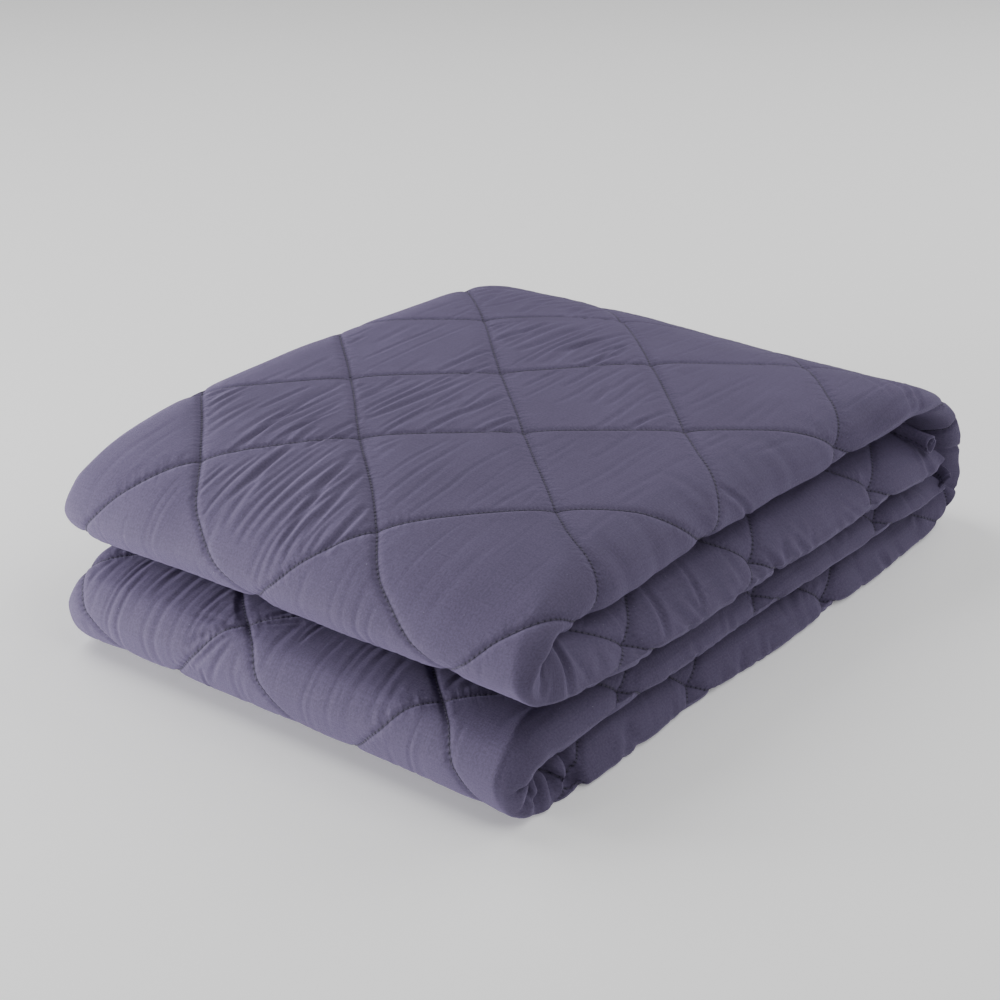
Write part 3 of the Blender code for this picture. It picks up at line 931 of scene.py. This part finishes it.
SPINE_MIDDLE = 4.5
THREADS = (
    ("upper_stitches", FIRST + END_ROUND, SPINE_MIDDLE),
    ("lower_stitches", SPINE_MIDDLE, LAST - END_ROUND),
)
threads = []
for row in THREADS:
    thread = add_object(row[0], thread_mesh(*row))
    threads.append(thread)
    print(row[0], len(thread.data.vertices) // (len(STITCH_PROFILE) * ARCH_POINTS), "stitches")

# %% [markdown]
# ## Cloth material
# The cotton is a plain weave, grey purple and matt, with a soft light nap that shows where
# the cloth turns away.  Three groups of nodes make its pattern: the weave with its uneven
# yarns, the gathers and painted needle-hole shade along the stitching, and lint and rubbed places.


# %% Helpers for node groups
def new_group(name, inputs, outputs):
    """An empty shader group.  An input is a number with its default, or else a vector."""
    group = bpy.data.node_groups.new(name, "ShaderNodeTree")
    for label, value in inputs.items():
        kind = "NodeSocketVector" if value is None else "NodeSocketFloat"
        socket = group.interface.new_socket(label, in_out="INPUT", socket_type=kind)
        if value is not None:
            socket.default_value = value
    for label in outputs:
        group.interface.new_socket(label, in_out="OUTPUT", socket_type="NodeSocketFloat")
    given, result = group.nodes.new("NodeGroupInput"), group.nodes.new("NodeGroupOutput")
    return group, given.outputs, result


def set_inputs(tree, node, values):
    """Gives inputs of a node, by label or number, a link from a socket or a plain value."""
    for label, value in values.items():
        if isinstance(value, bpy.types.NodeSocket):
            tree.links.new(value, node.inputs[label])
        elif value is not None:
            node.inputs[label].default_value = value


def add_node(tree, kind, values):
    """A new node and its inputs."""
    node = tree.nodes.new(kind)
    set_inputs(tree, node, values)
    return node


def maths(tree, operation, first, second=None, third=None):
    """A Math node, each of whose inputs is a socket or a number."""
    node = add_node(tree, "ShaderNodeMath", {0: first, 1: second, 2: third})
    node.operation = operation
    return node.outputs[0]


def times(tree, first, second):
    """The product of two sockets or numbers."""
    return maths(tree, "MULTIPLY", first, second)


def split(tree, vector):
    """The x and y of a vector socket."""
    return add_node(tree, "ShaderNodeSeparateXYZ", {0: vector}).outputs[:2]


def joined(tree, x, y):
    """A vector socket from x and y."""
    return add_node(tree, "ShaderNodeCombineXYZ", {0: x, 1: y}).outputs[0]


def noise(tree, vector, scale, detail=2.0, roughness=0.5):
    """A noise pattern, 0 to 1."""
    values = {"Vector": vector, "Scale": scale, "Detail": detail, "Roughness": roughness}
    return add_node(tree, "ShaderNodeTexNoise", values).outputs["Fac"]


# %% [markdown]
# The weave is two sets of yarns that go over and under each other.  A yarn's thickness
# varies along its length, and those slubs are what shows from a distance, as faint streaks
# both ways.


# %% Group: plain weave
SLUBS_ALONG, SLUBS_ACROSS = 45.0, 900.0
WOVEN_HEIGHT = 0.25


def weave_group():
    inputs = {"Cloth": None, "Yarns Per Metre": 2400.0, "Slubs": 0.5}
    group, given, result = new_group("Plain weave", inputs, ("Height", "Streaks"))
    x, y = split(group, given["Cloth"])
    turns = times(group, given["Yarns Per Metre"], math.pi)
    warp = maths(group, "SINE", times(group, x, turns))
    weft = maths(group, "SINE", times(group, y, turns))
    along_x = joined(group, times(group, x, SLUBS_ALONG), times(group, y, SLUBS_ACROSS))
    along_y = joined(group, times(group, x, SLUBS_ACROSS), times(group, y, SLUBS_ALONG))
    slubs = maths(group, "ADD", noise(group, along_x, 1.0), noise(group, along_y, 1.0))
    streaks = maths(group, "SUBTRACT", slubs, 1.0)
    raised = times(group, streaks, given["Slubs"])
    height = maths(group, "MULTIPLY_ADD", times(group, warp, weft), WOVEN_HEIGHT, raised)
    set_inputs(group, result, {"Height": height, "Streaks": streaks})
    return group


# %% [markdown]
# Along a stitched line the cloth is drawn together, so tiny gathers stand across it, and the
# needle leaves a hole at each end of a stitch, where a dark spot is painted in as shade.

# %% Group: gathers and painted needle-hole shade
GATHERS_ACROSS, GATHERS_ALONG = 5.0, 26.0


def distance_to_line(tree, place):
    """Distance from the nearest whole number, in quilting squares."""
    return maths(tree, "PINGPONG", place, 0.5)


def falloff(tree, distance, reach):
    """1 at distance 0, fading to 0 at about twice the reach."""
    scaled = maths(tree, "DIVIDE", distance, reach)
    return maths(tree, "EXPONENT", times(tree, times(tree, scaled, scaled), -1.0))


def line_effects(tree, across, along, given):
    """Gathers, and needle-hole masks for painted shade, of one family of stitched lines."""
    distance = distance_to_line(tree, across)
    beside = falloff(tree, distance, given["Gather Reach"])
    cell = joined(tree, times(tree, across, GATHERS_ACROSS), times(tree, along, GATHERS_ALONG))
    gather = times(tree, noise(tree, cell, 1.0, 1.0), beside)
    stitch = times(tree, along, given["Stitches"])
    to_hole = maths(tree, "DIVIDE", distance_to_line(tree, stitch), given["Stitches"])
    square = maths(tree, "ADD", times(tree, distance, distance), times(tree, to_hole, to_hole))
    hole = falloff(tree, maths(tree, "SQRT", square), given["Hole Size"])
    return gather, hole


def stitching_group():
    inputs = {
        "Squares": None,
        "Stitches": float(STITCHES_PER_SQUARE),
        "Gather Reach": 0.08,
        "Hole Size": 0.0085,
    }
    group, given, result = new_group("Stitched line", inputs, ("Gathers", "Hole Shade"))
    a, b = split(group, given["Squares"])
    gather_a, hole_a = line_effects(group, a, b, given)
    gather_b, hole_b = line_effects(group, b, a, given)
    gathers = maths(group, "ADD", gather_a, gather_b)
    # mask of each needle hole; the material paints shade through it
    hole_shade = maths(group, "MAXIMUM", hole_a, hole_b)
    set_inputs(group, result, {"Gathers": gathers, "Hole Shade": hole_shade})
    return group


# %% [markdown]
# Handling leaves a few paler rubbed patches, a fine mottle of raised fibres and specks of
# lint.  Each is noise of its own scale, detail and roughness.

# %% Group: rubbing and lint
RUBBED_NOISE = (14.0, 3.0, 0.6)
MOTTLE_NOISE = (760.0, 2.0, 0.85)
LINT_NOISE = (900.0, 0.0)
LINT_LEVEL, LINT_EDGE = 0.90, 14.0


def wear_group():
    inputs = {"Cloth": None, "Lint Amount": 0.06}
    group, given, result = new_group("Rubbing and lint", inputs, ("Rubbed", "Mottle", "Lint"))
    cloth = given["Cloth"]
    level = maths(group, "SUBTRACT", LINT_LEVEL, given["Lint Amount"])
    specks = maths(group, "SUBTRACT", noise(group, cloth, *LINT_NOISE), level)
    lint = maths(group, "MINIMUM", times(group, specks, LINT_EDGE), 1.0)
    lint = maths(group, "MAXIMUM", lint, 0.0)
    mottle = maths(group, "SUBTRACT", noise(group, cloth, *MOTTLE_NOISE), 0.5)
    rubbed = noise(group, cloth, *RUBBED_NOISE)
    set_inputs(group, result, {"Rubbed": rubbed, "Mottle": mottle, "Lint": lint})
    return group


weave = weave_group()
stitched = stitching_group()
wear = wear_group()

# %% [markdown]
# The material mixes a darker and a lighter tone of the cotton by the streaks in the yarn, the
# rubbed patches and the mottle.  Lint is paler still, and shade is painted dark into each needle
# hole.

# %% The quilted cotton
COTTON_DARK = (0.065, 0.0510, 0.100, 1.0)
COTTON_LIGHT = (0.093, 0.0740, 0.141, 1.0)
# painted shade: near black for each needle hole, standing in for the shade inside it
HOLE_SHADE_COLOUR = (0.012, 0.010, 0.020, 1.0)
LINT_COLOUR = (0.17, 0.16, 0.24, 1.0)
COTTON_FINISH = {
    "Roughness": 0.80,
    "Specular IOR Level": 0.35,
    "Sheen Weight": 0.20,
    "Sheen Roughness": 0.5,
    "Sheen Tint": (0.68, 0.58, 1.0, 1.0),
}
SLUB_HEIGHT = 0.6
STREAK_SHARE, MOTTLE_SHARE = 0.8, 3.4
GATHER_BUMP, WEAVE_BUMP = (0.0016, 0.6), (0.00025, 0.8)


def new_material(name):
    """A material, its tree of nodes and its shader."""
    material = bpy.data.materials.new(name)
    material.use_nodes = True
    return material, material.node_tree, material.node_tree.nodes["Principled BSDF"]


def uv_map(tree, name):
    """The coordinates of one UV map."""
    node = tree.nodes.new("ShaderNodeUVMap")
    node.uv_map = name
    return node.outputs[0]


def placed(tree, group, **values):
    """The outputs of a group node with these inputs."""
    node = tree.nodes.new("ShaderNodeGroup")
    node.node_tree = group
    set_inputs(tree, node, values)
    return node.outputs


def mixed(tree, factor, first, second):
    """A colour between two, each a socket or a colour."""
    node = tree.nodes.new("ShaderNodeMix")
    node.data_type = "RGBA"
    set_inputs(tree, node, {"Factor": factor, 6: first, 7: second})
    return node.outputs[2]


def bumped(tree, height, distance, strength, normal=None):
    """A Bump node on top of another normal."""
    values = {"Distance": distance, "Strength": strength, "Height": height, "Normal": normal}
    return add_node(tree, "ShaderNodeBump", values).outputs[0]


def cotton_material():
    material, tree, shader = new_material("quilted_cotton")
    cloth = uv_map(tree, "cloth")
    yarns = placed(tree, weave, Cloth=cloth, Slubs=SLUB_HEIGHT)
    lines = placed(tree, stitched, Squares=uv_map(tree, "squares"))
    worn = placed(tree, wear, Cloth=cloth)
    tone = maths(tree, "MULTIPLY_ADD", yarns["Streaks"], STREAK_SHARE, worn["Rubbed"])
    tone = maths(tree, "MULTIPLY_ADD", worn["Mottle"], MOTTLE_SHARE, tone)
    colour = mixed(tree, tone, COTTON_DARK, COTTON_LIGHT)
    # painted shade: each needle hole is darkened towards near black
    colour = mixed(tree, lines["Hole Shade"], colour, HOLE_SHADE_COLOUR)
    colour = mixed(tree, worn["Lint"], colour, LINT_COLOUR)
    normal = bumped(tree, lines["Gathers"], *GATHER_BUMP)
    normal = bumped(tree, yarns["Height"], *WEAVE_BUMP, normal)
    set_inputs(tree, shader, {"Base Color": colour, "Normal": normal, **COTTON_FINISH})
    return material


cotton = cotton_material()
for piece in layers + hems:
    piece.data.materials.append(cotton)
print(cotton.name, "on", len(layers + hems), "pieces")

# %% [markdown]
# The thread is spun polyester with a faint shine, a little darker than the cloth as painted shade.

# %% The thread
# painted shade: the thread is made darker than the cloth to stand in for shade along the stitching
THREAD_SHADED_COLOUR = (0.045, 0.038, 0.072, 1.0)
THREAD_FINISH = {"Roughness": 0.6, "Sheen Weight": 0.2}
THREAD_SHADE_SCALE, THREAD_FIBRE_SCALE = 300.0, 3000.0
THREAD_BUMP = (0.0001, 0.5)


def thread_material():
    material, tree, shader = new_material("quilting_thread")
    place = tree.nodes.new("ShaderNodeTexCoord").outputs["Object"]
    # painted shade: the thread's colour is darkened below the cloth's
    colour = mixed(tree, noise(tree, place, THREAD_SHADE_SCALE), THREAD_SHADED_COLOUR, COTTON_DARK)
    fibres = bumped(tree, noise(tree, place, THREAD_FIBRE_SCALE), *THREAD_BUMP)
    set_inputs(tree, shader, {"Base Color": colour, "Normal": fibres, **THREAD_FINISH})
    return material


thread_finish = thread_material()
for thread in threads:
    thread.data.materials.append(thread_finish)
print(thread_finish.name, "on", len(threads), "pieces")

# %% [markdown]
# ## Joining the frame
# Every layer stands for the one solid of the model and rides on its only body.

# %% Riding and replacing
for layer in layers:
    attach(layer, "root")
    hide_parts("quilted_blanket")
for piece in hems + threads:
    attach(piece, "root")

# %% [markdown]
# ## Floor
# A pale, plain floor that glows a little, like a light table, so that shadows on it stay soft.

# %% Floor
FLOOR_SIZE = 60.0
FLOOR_FINISH = {
    "Base Color": (0.9, 0.9, 0.9, 1.0),
    "Roughness": 0.9,
    "Emission Color": (1.0, 1.0, 1.0, 1.0),
    "Emission Strength": 0.18,
}
bpy.ops.mesh.primitive_plane_add(size=FLOOR_SIZE, location=(0.0, 0.0, 0.0))
floor = bpy.context.object
floor.name = "floor"
floor_material, floor_tree, floor_shader = new_material("pale_floor")
set_inputs(floor_tree, floor_shader, FLOOR_FINISH)
floor.data.materials.append(floor_material)
print("floor of", FLOOR_SIZE, "m")

# %% [markdown]
# ## Camera
# A longish lens keeps the block's edges nearly parallel.  It looks down on the front right
# corner, where the folds and the ends of the plies both show.

# %% Camera
CAMERA_AZIMUTH, CAMERA_ELEVATION = 37.2121, 25.2864
CAMERA_TARGET = Vector((0.0793, -0.1402, 0.1317))
CAMERA_DISTANCE = 1.2270
CAMERA_LENS, CAMERA_SENSOR, CAMERA_NEAR = 75.6, 36.0, 0.05


def face(thing, target, azimuth, elevation, distance):
    """Puts a camera or a lamp this far from a target, facing it."""
    a, e = math.radians(azimuth), math.radians(elevation)
    away = Vector((math.sin(a) * math.cos(e), -math.cos(a) * math.cos(e), math.sin(e)))
    thing.location = target + away * distance
    thing.rotation_euler = (-away).to_track_quat("-Z", "Y").to_euler()


camera = add_object("camera", bpy.data.cameras.new("camera"))
bpy.context.scene.camera = camera
face(camera, CAMERA_TARGET, CAMERA_AZIMUTH, CAMERA_ELEVATION, CAMERA_DISTANCE)
camera.data.lens = CAMERA_LENS
camera.data.sensor_width = CAMERA_SENSOR
camera.data.clip_start = CAMERA_NEAR
print("camera at", [round(c, 2) for c in camera.location])

# %% [markdown]
# ## Light
# Big soft lamps.  Two are low, on the left and in front, so that they rake across the creases
# and light the front folds.  Three larger ones hang high on the left, on the right and behind,
# so the gap between the folds stays dark.

# %% Lamps, as azimuth, elevation, distance, size and watts
LAMPS = (
    ("left_softbox", -46.0, 3.5, 1.3, 0.40, 22.0),
    ("front_softbox", -20.0, 3.5, 1.3, 0.40, 9.5),
    ("left_overhead", -90.0, 50.0, 2.2, 1.6, 28.0),
    ("right_overhead", 90.0, 50.0, 2.2, 1.6, 18.0),
    ("back_overhead", 165.0, 38.0, 2.2, 1.6, 21.0),
)
WORLD_STRENGTH = 0.18


def add_lamp(name, azimuth, elevation, distance, size, watts):
    """A square soft lamp that faces the block."""
    lamp = add_object(name, bpy.data.lights.new(name, "AREA"))
    lamp.data.size = size
    lamp.data.energy = watts
    face(lamp, Vector(), azimuth, elevation, distance)
    lamp.visible_camera = False


for row in LAMPS:
    add_lamp(*row)
world = bpy.data.worlds.new("studio")
world.use_nodes = True
glow = {"Color": (1.0, 1.0, 1.0, 1.0), "Strength": WORLD_STRENGTH}
set_inputs(world.node_tree, world.node_tree.nodes["Background"], glow)
bpy.context.scene.world = world
print(len(LAMPS), "lamps")
